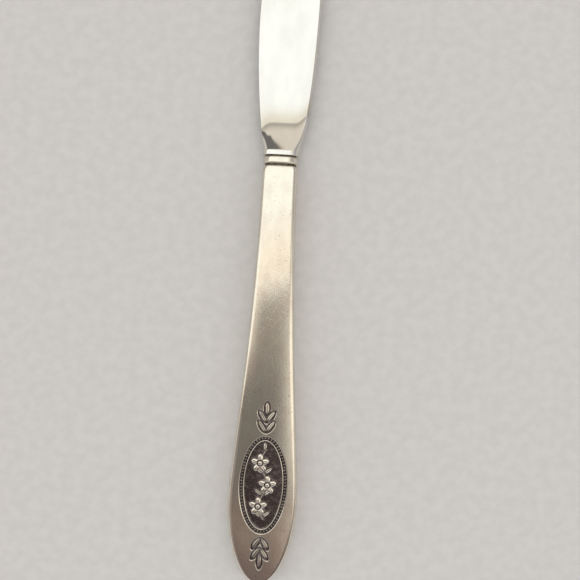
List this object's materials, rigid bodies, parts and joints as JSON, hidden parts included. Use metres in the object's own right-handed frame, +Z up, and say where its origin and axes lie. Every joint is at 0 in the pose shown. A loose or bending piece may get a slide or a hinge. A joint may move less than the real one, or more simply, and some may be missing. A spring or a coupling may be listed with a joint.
{
  "type": "dinner knife",
  "caption": "Dinner knife with a round-tipped polished blade, a plain ring collar and a hollow flat-faced handle stamped with a beaded oval of vine and blossoms.",
  "frame": {"origin": "on the table, under the middle of the knife's length", "axes": "+X across the knife towards the blade's spine, +Y along it towards the blade's tip, +Z up out of the ornamented front"},
  "size_m": [0.02, 0.2286, 0.0074],
  "materials": {
    "polished_steel": "mirror-polished stainless steel",
    "polished_plate": "polished silver plate",
    "satin_plate": "satin silver plate, worn, dark in the recesses",
    "silver_solder": "dull tarnished solder",
    "cement": "rough set cement"
  },
  "bodies": {
    "root": {"blade": "polished_steel", "bolster_solder": "silver_solder", "ferrule": "polished_plate", "mouth_solder": "silver_solder", "handle_front": "satin_plate", "handle_back": "satin_plate", "seam_solder": "silver_solder", "handle_cement": "cement"}
  },
  "joints": []
}
